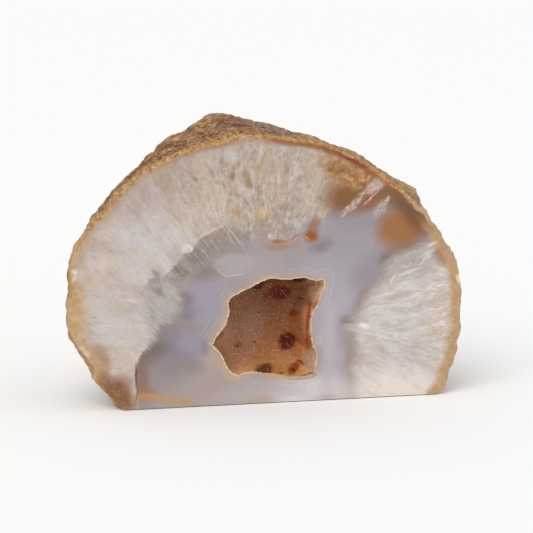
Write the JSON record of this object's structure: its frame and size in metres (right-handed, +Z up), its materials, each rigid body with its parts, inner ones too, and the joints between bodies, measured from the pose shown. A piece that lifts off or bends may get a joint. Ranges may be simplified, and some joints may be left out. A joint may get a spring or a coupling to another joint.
{
  "type": "agate geode half",
  "caption": "Half of an agate nodule sawn flat in front and underneath, so that it stands with its polished banded face and the small crystal-lined hollow in it upright.",
  "frame": {"origin": "on the sawn base, 20 mm behind the polished face, below the middle of the hollow", "axes": "+Z up from the sawn base, +X to the right of someone who looks at the polished face, and the polished face points along -Y"},
  "size_m": [0.1095, 0.0481, 0.0778],
  "materials": {
    "agate": "opaque stone: polished mauve-grey chalcedony and white fibrous quartz on the face, a sawn base, and a rough golden-brown to grey rind with low lumps and pits",
    "druse": "opaque crust of quartz crystals under half a millimetre, stained tan to brown with dark iron-red spots, glittering"
  },
  "bodies": {
    "root": {"agate_half": "agate", "druse_crust": "druse"}
  },
  "joints": []
}
